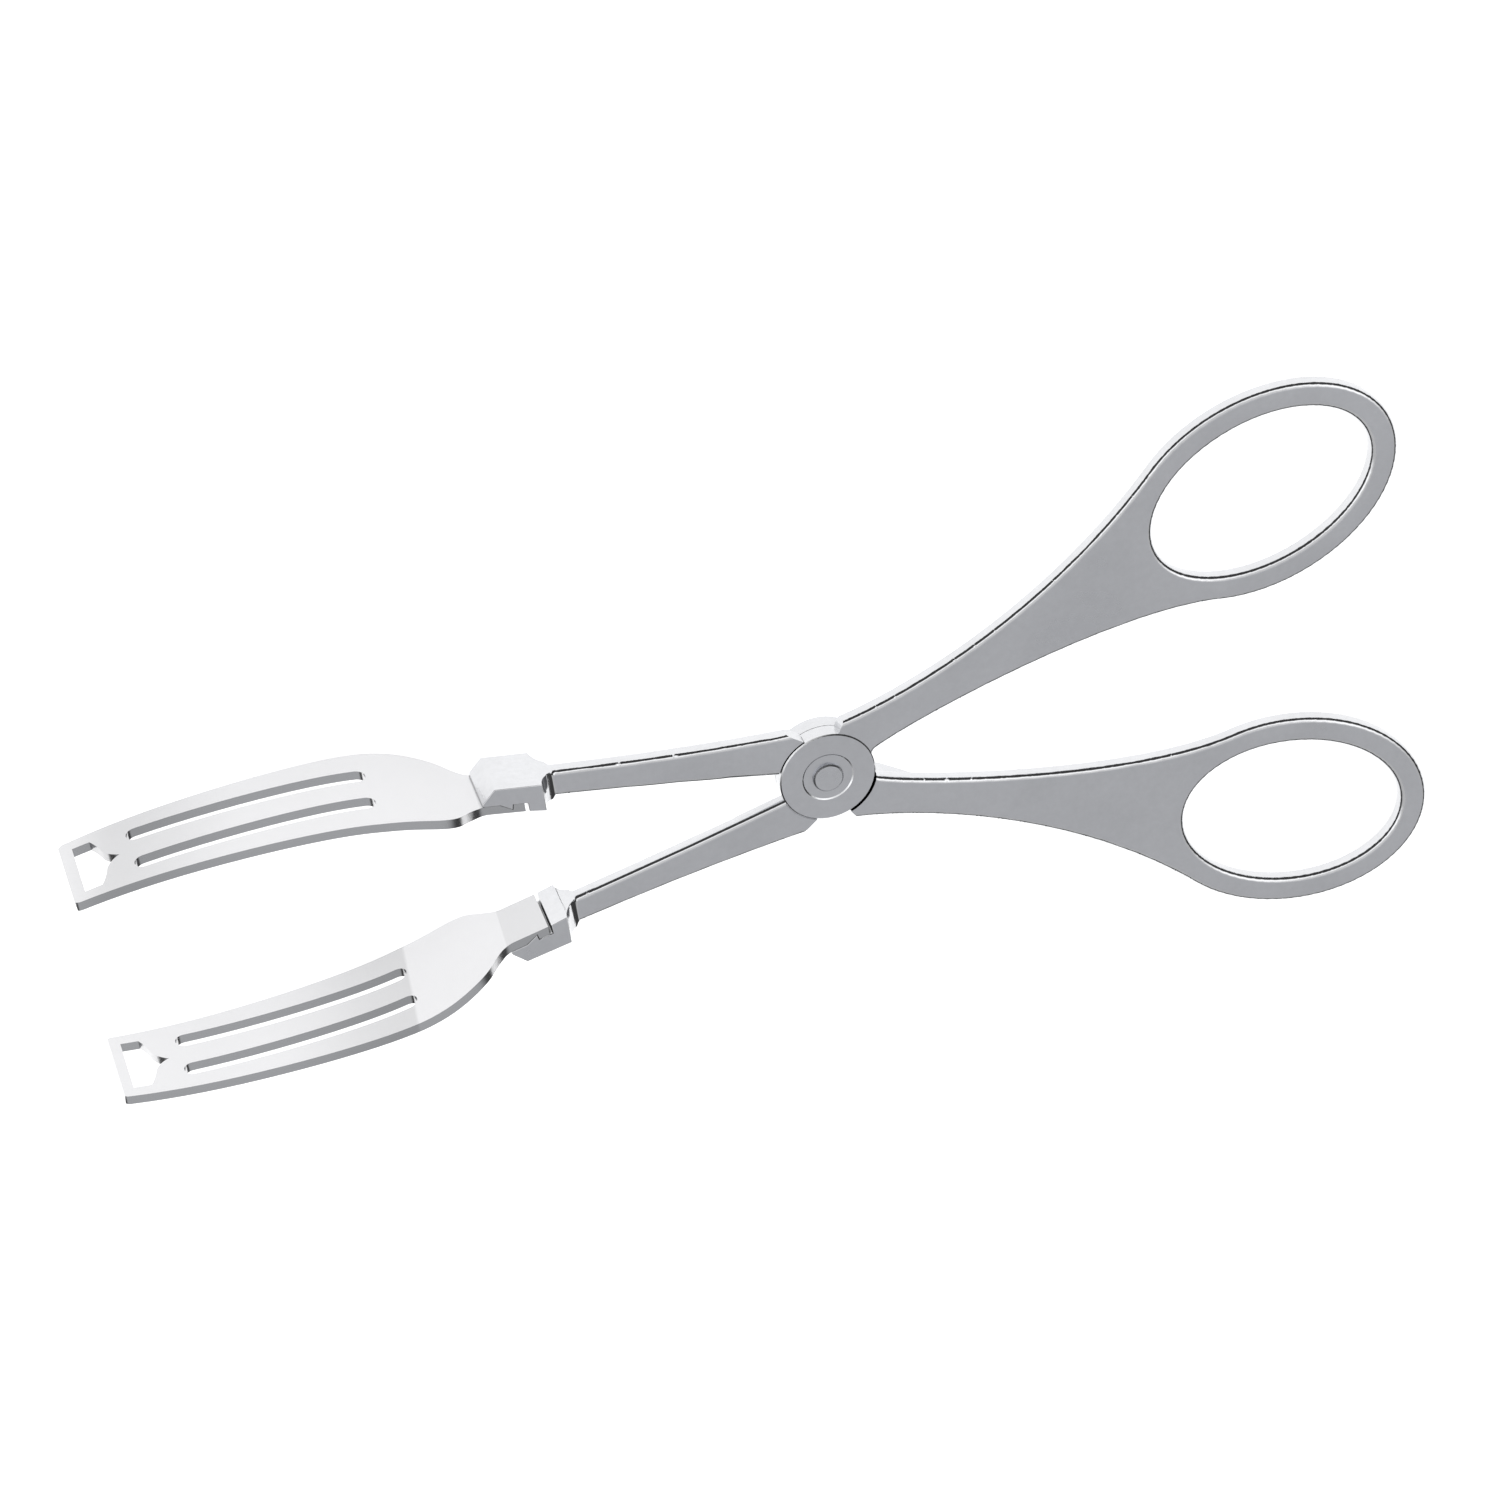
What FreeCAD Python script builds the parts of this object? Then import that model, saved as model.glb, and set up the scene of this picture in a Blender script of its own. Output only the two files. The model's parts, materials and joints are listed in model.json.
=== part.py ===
"""Scissor-type serving tongs in stainless steel.

Two levers cross at a riveted joint.  Each lever runs from a finger ring, through a round joint disc, to a
stepped tab that carries a wide, bowed and slotted gripping blade.  The front lever is one flat plate.  The
rear lever mirrors it, with its disc set back by one plate, so that both handles and arms lie level.

The tongs are drawn about the pivot: X runs towards the finger rings along the line that halves the
opening, Z is the pivot axis, and z = 0 is the middle of the lever plates.  At the end everything gets one
placement that lays the tongs on a table, standing on the blades' lower edges and the backs of the rings.
"""

import FreeCAD, Part
import math
import os

import Sketcher
from FreeCAD import Placement, Rotation, Vector

doc = FreeCAD.newDocument("serving_tongs")

# ---------------------------------------------------------------------------------------------- sizes
SIZES = [
    ("plate_thickness", 2.5, "lever plate, face to face"),
    ("disc_radius", 7.25, "joint disc"),
    ("face_gap", 0.1, "clearance between the two discs"),
    ("rim_gap", 0.3, "clearance between the front disc and the rear lever's shoulders"),
    ("boss_height", 0.06, "front disc's turned face above the plate"),
    ("rim_bevel_width", 0.2, "bevel round the front disc"),
    ("rim_bevel_depth", 0.16, "bevel round the front disc"),
    ("dish_radius", 3.9, "shallow dish round the rivet's front end"),
    ("dish_depth", 0.12, "depth of that dish"),
    ("dish_slope", 0.2, "width of the dish's sloping wall"),
    ("rivet_radius", 2.3, "rivet shank"),
    ("rivet_running_gap", 0.05, "radial clearance in the rear lever"),
    ("rivet_head_radius", 3.4, "rear head of the rivet"),
    ("rivet_head_height", 0.9, "rear head of the rivet"),
    ("rivet_stand_out", 0.5, "front end of the rivet above the plate"),
    ("rivet_bevel", 0.25, "bevel round the rivet's front end"),
    ("root_reach", 17.0, "pivot to the end of the ramps behind the rear lever"),
    ("root_flat", 9.5, "pivot to where those ramps start to fall"),
    ("root_half", 2.0, "half the width of those ramps"),
    ("ring_reach", 75.15, "pivot to the middle of the finger ring"),
    ("ring_bearing", 22.1, "direction of the finger ring from the pivot, degrees"),
    ("ring_lean", 17.4, "lean of the ring's long axis, degrees"),
    ("ring_hole_long", 17.4, "half the long way across the finger hole"),
    ("ring_hole_short", 12.0, "half the short way across the finger hole"),
    ("ring_wall", 4.2, "width of the ring round the finger hole"),
    ("edge_round", 0.85, "rounding along the lever's outline"),
    ("head_offset", 0.2, "tab and blade centre line in front of the plate's middle"),
    ("tab_width", 9.0, "tab, along the pivot axis"),
    ("step_place", 44.4, "pivot to the step that the tang butts against, along X"),
    ("nose_place", 50.9, "pivot to the tab's nose, along X"),
    ("seat_at_step", 11.6, "seat under the tang from the centre line, at the step"),
    ("tang_slope", 0.2, "rise of the seat per unit along X"),
    ("tang_gap", 0.5, "gap between the tang's end and the step"),
    ("tang_half", 4.4, "half the tang's width"),
    ("hook_height", 0.9, "tooth on the seat that holds the tang"),
    ("blade_thickness", 1.4, "blade plate"),
    ("blade_root_half", 9.5, "half the blade's width next to its shoulders"),
    ("blade_tip_half", 7.6, "half the blade's width at the tip"),
    ("blade_reach", 110.2, "pivot to the blade's tip, along X"),
    ("blade_corner", 0.9, "rounding of the blade's two tip corners"),
    ("blade_sway", 0.8, "both blades bend this way from their seats, towards the front lever's arm, degrees"),
    ("slot_width", 2.8, "slots in the blade"),
    ("slot_spread", 3.6, "slot centre line from the blade's centre line"),
    ("slot_root", 65.6, "pivot to the slots' root end"),
    ("slot_tip", 100.7, "pivot to the slots' tip end"),
    ("window_half", 5.6, "half the height of the window next to the tip"),
]

sheet = doc.addObject("Spreadsheet::Sheet", "sizes")
for row, (alias, value, note) in enumerate(SIZES, start=1):
    sheet.set(f"A{row}", note)
    sheet.set(f"B{row}", str(value))
    sheet.setAlias(f"B{row}", alias)
doc.recompute()


def size(alias):
    """The value of one cell of the sheet."""
    return float(sheet.get(alias))


# ------------------------------------------------------------------------------------ drawing helpers
def new_body(label):
    """An empty body whose label is also the name of its file."""
    body = doc.addObject("PartDesign::Body", label)
    body.Label = label
    return body


def new_sketch(body, role, name):
    """A sketch on one of the body's own origin planes."""
    plane = next(item for item in body.Origin.OriginFeatures if item.Role == role)
    sketch = body.newObject("Sketcher::SketchObject", name)
    sketch.AttachmentSupport = (plane, [""])
    sketch.MapMode = "FlatFace"
    return sketch


def add_circle(sketch, name, expression):
    """A circle about the pivot with its radius driven by the sheet."""
    index = sketch.addGeometry(Part.Circle(Vector(), Vector(0, 0, 1), DISC))
    sketch.addConstraint(Sketcher.Constraint("Coincident", index, 3, -1, 1))
    radius = sketch.addConstraint(Sketcher.Constraint("Radius", index, DISC))
    sketch.renameConstraint(radius, name)
    sketch.setExpression(f"Constraints.{name}", expression)


def add_loop(sketch, curves):
    """Curves laid end to end."""
    for curve in curves:
        sketch.addGeometry(curve)


def lift(sketch, height):
    """Moves a sketch along the normal of its plane."""
    sketch.AttachmentOffset = Placement(Vector(0, 0, height), Rotation())


def extrude(body, sketch, name, length, middle=0.0):
    """A pad as deep as the expression says, half of it each side of the given height."""
    pad = body.newObject("PartDesign::Pad", name)
    pad.Profile = sketch
    pad.setExpression("Length", length)
    pad.Midplane = True
    lift(sketch, middle)


def cut_through(body, sketch, name):
    """A pocket right through, both ways from the sketch plane."""
    pocket = body.newObject("PartDesign::Pocket", name)
    pocket.Profile = sketch
    pocket.Type = "ThroughAll"
    pocket.Midplane = True


def turn_profile(body, kind, name, points):
    """Adds or cuts a closed profile, given as radius and height, turned about the pivot axis."""
    sketch = new_sketch(body, "XZ_Plane", f"{name}_profile")
    add_loop(sketch, polygon(points))
    turned = body.newObject(kind, name)
    turned.Profile = sketch
    turned.ReferenceAxis = (sketch, ["V_Axis"])
    turned.Angle = 360


def arc(start, middle, end):
    """A circular arc through three points."""
    return Part.Arc(Vector(*start, 0), Vector(*middle, 0), Vector(*end, 0))


def line(start, end):
    """A straight edge."""
    return Part.LineSegment(Vector(*start, 0), Vector(*end, 0))


def polygon(points):
    """Straight edges from point to point and back to the first."""
    return [line(start, end) for start, end in zip(points, points[1:] + points[:1])]


def smooth(start, start_way, end_way, end):
    """A cubic curve that leaves start along start_way and arrives at end along end_way."""
    curve = Part.BezierCurve()
    start, end = Vector(*start, 0), Vector(*end, 0)
    curve.setPoles([start, start + Vector(*start_way, 0), end - Vector(*end_way, 0), end])
    return curve.toBSpline()


def along(degrees, length):
    """A step of the given length in the given direction."""
    turn = math.radians(degrees)
    return (length * math.cos(turn), length * math.sin(turn))


def flip(point, side):
    """A point of the front lever's half, mirrored for the rear lever when side is -1."""
    return (point[0], point[1] * side)


def flip_all(points, side):
    """A list of points, mirrored for the rear lever when side is -1."""
    return [flip(point, side) for point in points]


# -------------------------------------------------------------------------------------- lever outline
PLATE = size("plate_thickness")
HALF_PLATE = PLATE / 2
DISC = size("disc_radius")
REAR_DISC_TOP = -HALF_PLATE - size("face_gap")
REAR_DISC_BACK = REAR_DISC_TOP - PLATE

RING_LEAN = size("ring_lean")
RING_MIDDLE = along(size("ring_bearing"), size("ring_reach"))
RING_LONG = size("ring_hole_long") + size("ring_wall")
RING_SHORT = size("ring_hole_short") + size("ring_wall")

# Where the two edges of the handle run into the ring, as angles on the ring's own ellipse.
RING_TOP_JOIN = 127
RING_LOW_JOIN = -125

# Where the arm's plate ends and the tab begins.
ARM_END = -39.6
ARM_END_INNER = (ARM_END, -9.0)
ARM_END_OUTER = (ARM_END, -13.5)


def on_ring(degrees):
    """A point on the ring's outer ellipse, and the unit direction in which the ellipse runs there."""
    turn = math.radians(degrees)
    lean = math.radians(RING_LEAN)
    far = (RING_LONG * math.cos(turn), RING_SHORT * math.sin(turn))
    way = Vector(-RING_LONG * math.sin(turn), RING_SHORT * math.cos(turn), 0).normalize()
    place = (
        RING_MIDDLE[0] + far[0] * math.cos(lean) - far[1] * math.sin(lean),
        RING_MIDDLE[1] + far[0] * math.sin(lean) + far[1] * math.cos(lean),
    )
    direction = (
        way.x * math.cos(lean) - way.y * math.sin(lean),
        way.x * math.sin(lean) + way.y * math.cos(lean),
    )
    return place, direction


def ring_ellipse(side, long_half, short_half):
    """The ring's ellipse, or the finger hole's, for one lever."""
    middle = Vector(*flip(RING_MIDDLE, side), 0)
    long_end = middle + Vector(*along(RING_LEAN * side, long_half), 0)
    short_end = middle + Vector(*along(RING_LEAN * side + 90, short_half), 0)
    return Part.Ellipse(long_end, short_end, middle)


def ring_rim(side):
    """The outer rim of the ring, from one edge of the handle round to the other."""
    ellipse = ring_ellipse(side, RING_LONG, RING_SHORT)
    low, high = math.radians(RING_LOW_JOIN), math.radians(RING_TOP_JOIN)
    if side > 0:
        return Part.ArcOfEllipse(ellipse, low, high)
    return Part.ArcOfEllipse(ellipse, -high, -low)


def lever_outline(side):
    """Arm, joint disc, handle and ring as one closed outline."""
    ring_low, low_way = on_ring(RING_LOW_JOIN)
    ring_top, top_way = on_ring(RING_TOP_JOIN)
    crotch_on_disc = along(9.6, DISC)
    crotch_bend = (7.36, 2.11)
    crotch_on_handle = (7.84, 2.5)
    handle_shoulder = (3.6, 8.65)
    arm_shoulder = (-5.2, -8.85)

    def edge(start, start_way, reach_out, end_way, reach_in, end):
        """One long edge: a direction and a reach at each end."""
        first = Vector(*start_way, 0) * reach_out
        last = Vector(*end_way, 0) * reach_in
        return smooth(
            flip(start, side),
            flip((first.x, first.y), side),
            flip((last.x, last.y), side),
            flip(end, side),
        )

    def through(*places):
        """An arc through three points."""
        return arc(*flip_all(places, side))

    def straight(start, end):
        """A straight edge."""
        return line(flip(start, side), flip(end, side))

    return [
        through(crotch_on_disc, crotch_bend, crotch_on_handle),
        edge(crotch_on_handle, along(24, 1), 9.0, low_way, 15.5, ring_low),
        ring_rim(side),
        edge(ring_top, top_way, 23.0, along(191, 1), 14.0, handle_shoulder),
        straight(handle_shoulder, along(70, DISC)),
        through(along(70, DISC), along(135, DISC), along(198, DISC)),
        through(along(198, DISC), (-24.0, -5.95), ARM_END_INNER),
        straight(ARM_END_INNER, ARM_END_OUTER),
        edge(ARM_END_OUTER, along(10, 1), 11.5, along(5, 1), 11.5, arm_shoulder),
        straight(arm_shoulder, along(-110, DISC)),
        through(along(-110, DISC), along(-45, DISC), crotch_on_disc),
    ]


# ----------------------------------------------------------------------------------------- tab (block)
STEP = -size("step_place")
NOSE = -size("nose_place")
THICK = size("blade_thickness")
HEAD_MIDDLE = size("head_offset")

# The tooth on the seat: a steep side towards the step, and a long back towards the nose.
HOOK_FOOT = STEP - 2.1
HOOK_TOP = HOOK_FOOT - 0.2
HOOK_BACK = HOOK_FOOT - 1.9
HOOK_PLAY = 0.06


def seat(x):
    """Place of the seat that the tang lies on."""
    return -size("seat_at_step") + size("tang_slope") * (x - STEP)


def hook(play):
    """The tooth, or the notch round it when it has some play."""
    return [
        (HOOK_FOOT + play, seat(HOOK_FOOT)),
        (HOOK_TOP + play, seat(HOOK_TOP) + size("hook_height") + play),
        (HOOK_BACK - play, seat(HOOK_BACK)),
    ]


def tab_outline(side):
    """Stepped end of the lever: shoulder, step, seat with its tooth, and sloping nose."""
    points = [
        ARM_END_INNER,
        (ARM_END - 2.2, -9.5),
        (STEP, seat(STEP) + THICK),
        (STEP, seat(STEP)),
        *hook(0),
        (NOSE, seat(NOSE)),
        (NOSE + 0.1, seat(NOSE) - 0.5),
        (NOSE + 2.1, -15.3),
        (ARM_END - 2.0, -14.0),
        ARM_END_OUTER,
    ]
    return polygon(flip_all(points, side))


def flare_waste(face):
    """Waste in front of (face 1) or behind (face -1) the flare between the plate and the tab."""
    plate = HALF_PLATE * face
    tab_face = size("tab_width") / 2 * face + HEAD_MIDDLE
    beyond = tab_face + face
    tab_start = ARM_END - 2.3
    bend = (ARM_END - 1.5, plate + (tab_face - plate) / 3)
    clear = ARM_END + 3
    points = [(tab_start, tab_face), (tab_start, beyond), (clear, beyond), (clear, plate), (ARM_END, plate)]
    edges = [line(start, end) for start, end in zip(points, points[1:])]
    return edges + [arc((ARM_END, plate), bend, (tab_start, tab_face))]


# ---------------------------------------------------------------------------------------------- levers
def rounded_edges(shape):
    """Names of the outline edges on the plate's two faces, away from the joint and the tab."""
    names = []
    for number, edge in enumerate(shape.Edges, start=1):
        box = edge.BoundBox
        on_face = box.ZLength < 0.01 and abs(abs(box.ZMin) - HALF_PLATE) < 0.01
        middle = edge.valueAt((edge.FirstParameter + edge.LastParameter) / 2)
        at_joint = math.hypot(middle.x, middle.y) < DISC + 2
        at_tab = middle.x < ARM_END + 0.5
        if on_face and not at_joint and not at_tab:
            names.append(f"Edge{number}")
    return names


def make_plate_and_tab(label, side):
    """Flat plate with rounded outline, and the tab that rises from the arm's end."""
    body = new_body(label)
    outline = new_sketch(body, "XY_Plane", f"{label}_outline")
    add_loop(outline, lever_outline(side))
    extrude(body, outline, f"{label}_plate", "sizes.plate_thickness")

    tab = new_sketch(body, "XY_Plane", f"{label}_tab_outline")
    add_loop(tab, tab_outline(side))
    extrude(body, tab, f"{label}_tab", "sizes.tab_width", HEAD_MIDDLE)

    flares = new_sketch(body, "XZ_Plane", f"{label}_flares")
    add_loop(flares, flare_waste(1) + flare_waste(-1))
    cut_through(body, flares, f"{label}_flare_cut")

    hole = new_sketch(body, "XY_Plane", f"{label}_finger_hole")
    hole.addGeometry(ring_ellipse(side, size("ring_hole_long"), size("ring_hole_short")))
    cut_through(body, hole, f"{label}_finger_cut")
    doc.recompute()

    sharp = body.Tip
    rounding = body.newObject("PartDesign::Fillet", f"{label}_rounding")
    rounding.Base = (sharp, rounded_edges(sharp.Shape))
    rounding.setExpression("Radius", "sizes.edge_round")
    doc.recompute()
    return body


def bore(body, expression):
    """The hole for the rivet."""
    sketch = new_sketch(body, "XY_Plane", f"{body.Label}_bore")
    add_circle(sketch, "bore_radius", expression)
    cut_through(body, sketch, f"{body.Label}_bore_cut")
    doc.recompute()


def make_front_lever():
    """Flat lever; its disc has a turned face with a bevelled rim and a dish round the rivet."""
    body = make_plate_and_tab("front_lever", 1)
    face = HALF_PLATE + size("boss_height")
    above = face + 1

    boss = new_sketch(body, "XY_Plane", "boss_outline")
    add_circle(boss, "boss_radius", "sizes.disc_radius")
    extrude(body, boss, "boss", "2 * sizes.boss_height", HALF_PLATE)

    bevel_start = DISC - size("rim_bevel_width")
    bevel_foot = face - size("rim_bevel_depth")
    line_width = 0.12
    rim_waste = [
        (bevel_start, face),
        (DISC, bevel_foot),
        (DISC + line_width, bevel_foot),
        (DISC + line_width, above),
        (bevel_start, above),
    ]
    turn_profile(body, "PartDesign::Groove", "rim_bevel", rim_waste)

    floor = face - size("dish_depth")
    dish = [
        (0, floor),
        (size("dish_radius") - size("dish_slope"), floor),
        (size("dish_radius"), face),
        (size("dish_radius"), above),
        (0, above),
    ]
    turn_profile(body, "PartDesign::Groove", "dish", dish)
    bore(body, "sizes.rivet_radius")
    return body


def root_outline(start, end):
    """One ramp behind the rear lever, as a strip along the middle of its arm or handle."""
    way = Vector(end[0] - start[0], end[1] - start[1], 0).normalize()
    across = Vector(-way.y, way.x, 0) * size("root_half")
    first, last = Vector(*start, 0), Vector(*end, 0)
    corners = [first + across, first - across, last - across, last + across]
    return polygon([(corner.x, corner.y) for corner in corners])


def make_rear_lever():
    """Lever whose disc is set back behind the front one, joined to arm and handle by two ramps."""
    body = make_plate_and_tab("rear_lever", -1)

    disc = new_sketch(body, "XY_Plane", "rear_disc_outline")
    add_circle(disc, "rear_disc_radius", "sizes.disc_radius")
    extrude(body, disc, "rear_disc", "sizes.plate_thickness", (REAR_DISC_TOP + REAR_DISC_BACK) / 2)

    roots = new_sketch(body, "XY_Plane", "root_outlines")
    reach = size("root_reach")
    add_loop(roots, root_outline((-4.5, 3.9), (-reach, 7.5)))
    add_loop(roots, root_outline((5.0, -3.9), (reach - 1, -8.9)))
    embedded = 0.4
    depth = f"sizes.plate_thickness + sizes.face_gap + {embedded}"
    extrude(body, roots, "roots", depth, (embedded - HALF_PLATE + REAR_DISC_BACK) / 2)

    beyond = REAR_DISC_BACK - 1
    ramp_waste = [
        (size("root_flat"), REAR_DISC_BACK),
        (reach - 1, -HALF_PLATE),
        (reach + 2, -HALF_PLATE),
        (reach + 2, beyond),
        (size("root_flat"), beyond),
    ]
    turn_profile(body, "PartDesign::Groove", "ramps", ramp_waste)

    lap = new_sketch(body, "XY_Plane", "lap_outline")
    add_circle(lap, "lap_radius", "sizes.disc_radius + sizes.rim_gap")
    lift(lap, REAR_DISC_TOP)
    lap_cut = body.newObject("PartDesign::Pocket", "lap")
    lap_cut.Profile = lap
    lap_cut.setExpression("Length", "2 * sizes.plate_thickness")
    lap_cut.Reversed = True
    bore(body, "sizes.rivet_radius + sizes.rivet_running_gap")
    return body


front_lever = make_front_lever()
rear_lever = make_rear_lever()


# ----------------------------------------------------------------------------------------------- blades
BLADE_TIP = -size("blade_reach")
ROOT_HALF = size("blade_root_half")
TIP_HALF = size("blade_tip_half")
TANG_HALF = size("tang_half")
CORNER = size("blade_corner")
CREASE = (NOSE - 0.8, seat(NOSE - 0.8))

# Where the blade is widest, along X.
CROWN = -66.0

# The outer face of the bow from the crease to the tip.
BOW = [
    CREASE,
    (-56.0, -14.8),
    (-61.0, -16.95),
    (-67.0, -18.5),
    (-76.0, -19.45),
    (-88.0, -19.7),
    (-100.0, -19.2),
    (BLADE_TIP, -17.95),
]


def swayed(point, side):
    """A point of the bow, turned about the crease by the blade's sway."""
    crease = Vector(*flip(CREASE, side), 0)
    placed = Rotation(Vector(0, 0, 1), size("blade_sway")) * (Vector(*flip(point, side), 0) - crease)
    return crease + placed


def bow_face(side, depth):
    """One face of the bowed blade, the given depth inside its outer face."""
    outer = [swayed(point, side) for point in BOW]
    points = []
    for number, point in enumerate(outer):
        before = outer[max(number - 1, 0)]
        after = outer[min(number + 1, len(outer) - 1)]
        way = (before - after).normalize()
        points.append(point + Vector(-way.y, way.x, 0) * depth * side)
    curve = Part.BSplineCurve()
    curve.interpolate(points)
    return curve, points[0], points[-1]


def blade_side_view(side):
    """Tang, crease and bowed blade, seen along the pivot axis."""
    tang_end = STEP - size("tang_gap")
    outer, outer_crease, outer_tip = bow_face(side, 0)
    inner, inner_crease, inner_tip = bow_face(side, THICK)
    tang_outer = Vector(*flip((tang_end, seat(tang_end)), side), 0)
    tang_inner = Vector(*flip((tang_end, seat(tang_end) + THICK), side), 0)
    return [
        Part.LineSegment(tang_outer, outer_crease),
        outer,
        Part.LineSegment(outer_tip, inner_tip),
        inner,
        Part.LineSegment(inner_crease, tang_inner),
        Part.LineSegment(tang_inner, tang_outer),
    ]


def blade_plan(face):
    """Waste beyond one long edge of the blade, seen square to its broad face."""
    far = HEAD_MIDDLE + (ROOT_HALF + 5) * face
    root_end, tip_end = ARM_END, BLADE_TIP - 5

    def place(x, half):
        """A point this far from the blade's centre line."""
        return (x, HEAD_MIDDLE + half * face)

    tang = place(-50.2, TANG_HALF)
    shoulder = place(-54.7, (TANG_HALF + ROOT_HALF) / 2 + 0.3)
    crown = place(CROWN, ROOT_HALF)
    spread = (-1, 0.8 * face)
    corner_start = place(BLADE_TIP + CORNER, TIP_HALF)
    corner_end = place(BLADE_TIP - 0.2, TIP_HALF - CORNER)
    return [
        line(place(root_end, TANG_HALF), tang),
        smooth(tang, (-1.8, 0), spread, shoulder),
        smooth(shoulder, (2.2 * spread[0], 2.2 * spread[1]), (-4, 0), crown),
        line(crown, corner_start),
        arc(corner_start, place(BLADE_TIP + CORNER / 4, TIP_HALF - CORNER / 4), corner_end),
        line(corner_end, place(tip_end, TIP_HALF - CORNER)),
        line(place(tip_end, TIP_HALF - CORNER), (tip_end, far)),
        line((tip_end, far), (root_end, far)),
        line((root_end, far), place(root_end, TANG_HALF)),
    ]


def slot_outline(middle):
    """A long slot with round ends, its centre line at the given height."""
    half = size("slot_width") / 2
    root, tip = half - size("slot_root") - 2 * half, half - size("slot_tip")
    low, high = middle - half, middle + half
    return [
        line((root, low), (tip, low)),
        arc((tip, low), (tip - half, middle), (tip, high)),
        line((tip, high), (root, high)),
        arc((root, high), (root + half, middle), (root, low)),
    ]


def window_outline():
    """Window next to the tip: square towards the tip, a pointed ogee arch towards the slots."""
    half = size("window_half")
    square_end = BLADE_TIP + 1.8
    spring = square_end + 2.6
    neck = square_end + 3.9
    point = square_end + 6.1

    def half_arch(face):
        """Hollow then swelling curve from the spring of the arch to its point."""
        waist = (neck, HEAD_MIDDLE + half * 0.4 * face)
        return [
            arc((spring, HEAD_MIDDLE + half * face), (neck - 0.55, HEAD_MIDDLE + half * 0.72 * face), waist),
            arc(waist, (neck + 0.85, HEAD_MIDDLE + half * 0.17 * face), (point, HEAD_MIDDLE)),
        ]

    edges = half_arch(1) + half_arch(-1)
    for face in (1, -1):
        edges.append(line((square_end, HEAD_MIDDLE + half * face), (spring, HEAD_MIDDLE + half * face)))
    edges.append(line((square_end, HEAD_MIDDLE - half), (square_end, HEAD_MIDDLE + half)))
    return edges


def make_blade(label, side):
    """One blade: side is 1 for the blade of the front lever."""
    body = new_body(label)
    profile = new_sketch(body, "XY_Plane", f"{label}_side_view")
    add_loop(profile, blade_side_view(side))
    extrude(body, profile, f"{label}_plate", "2 * sizes.blade_root_half + 2", HEAD_MIDDLE)

    for face, word in ((1, "front"), (-1, "rear")):
        waste = new_sketch(body, "XZ_Plane", f"{label}_{word}_waste")
        add_loop(waste, blade_plan(face))
        cut_through(body, waste, f"{label}_{word}_edge")

    openings = new_sketch(body, "XZ_Plane", f"{label}_openings")
    for way in (1, -1):
        add_loop(openings, slot_outline(HEAD_MIDDLE + size("slot_spread") * way))
    add_loop(openings, window_outline())
    cut_through(body, openings, f"{label}_openings_cut")

    notch = new_sketch(body, "XY_Plane", f"{label}_hook_notch")
    below = 0.2
    foot, top, back = hook(HOOK_PLAY)
    corners = [(foot[0], foot[1] - below), foot, top, back, (back[0], back[1] - below)]
    add_loop(notch, polygon(flip_all(corners, side)))
    cut_through(body, notch, f"{label}_notch_cut")
    doc.recompute()
    return body


lower_blade = make_blade("lower_blade", 1)
upper_blade = make_blade("upper_blade", -1)


# ------------------------------------------------------------------------------------------------ rivet
def make_rivet():
    """Shouldered pin: fast in the front lever, loose in the rear lever, headed at the back."""
    body = new_body("pivot_rivet")
    front = HALF_PLATE + size("rivet_stand_out")
    back = REAR_DISC_BACK - size("face_gap")
    tail = back - size("rivet_head_height")
    radius = size("rivet_radius")
    bevel = size("rivet_bevel")
    head = size("rivet_head_radius")
    half_section = [
        (0, front),
        (radius - bevel, front),
        (radius, front - bevel),
        (radius, back),
        (head, back),
        (head, (back + tail) / 2),
        (head - 0.6, tail),
        (0, tail),
    ]
    turn_profile(body, "PartDesign::Revolution", "rivet_turning", half_section)
    doc.recompute()
    return body


pivot_rivet = make_rivet()

# ------------------------------------------------------------------------------------- lay on the table
PIECES = [front_lever, rear_lever, lower_blade, upper_blade, pivot_rivet]

# The tongs touch the table where the blades are widest and near the far ends of the rings.
blade_touch = (CROWN, HEAD_MIDDLE - ROOT_HALF)
ring_touch = (RING_MIDDLE[0] + RING_LONG * math.cos(math.radians(RING_LEAN)) - 2, -HALF_PLATE)
tilt = math.degrees(math.atan2(ring_touch[1] - blade_touch[1], ring_touch[0] - blade_touch[0]))
turn = Rotation(Vector(0, 1, 0), tilt)


def exact_box(piece, placement):
    """The piece's bounding box at a placement."""
    shape = piece.Shape.copy()
    shape.Placement = placement
    return shape.optimalBoundingBox(False)


boxes = [exact_box(piece, Placement(Vector(), turn)) for piece in PIECES]
middle_x = (min(box.XMin for box in boxes) + max(box.XMax for box in boxes)) / 2
middle_y = (min(box.YMin for box in boxes) + max(box.YMax for box in boxes)) / 2
low = min(box.ZMin for box in boxes)
resting = Placement(Vector(-middle_x, -middle_y, -low), turn)
for piece in PIECES:
    piece.Placement = resting
doc.recompute()

# -------------------------------------------------------------------------------------- check and write
for item in doc.Objects:
    if {"Invalid", "Error"} & set(item.State):
        raise RuntimeError(f"{item.Name} failed: {item.State}")
os.makedirs("parts", exist_ok=True)
for piece in PIECES:
    if piece.Shape.isNull() or not piece.Shape.isValid() or len(piece.Shape.Solids) != 1:
        raise RuntimeError(f"{piece.Label} is not one valid solid")
    piece.Shape.exportStep(f"parts/{piece.Label}.step")
    print(piece.Label, "volume", round(piece.Shape.Volume, 1), "mm3")
print("pivot at", [round(value, 5) for value in resting.Base], "leaning", round(tilt, 6), "degrees")
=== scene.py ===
"""Scissor serving tongs: finishes, polished edges and a plain studio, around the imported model."""

import json
from math import radians

import bmesh
import bpy
from mathutils import Matrix, Vector


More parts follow.
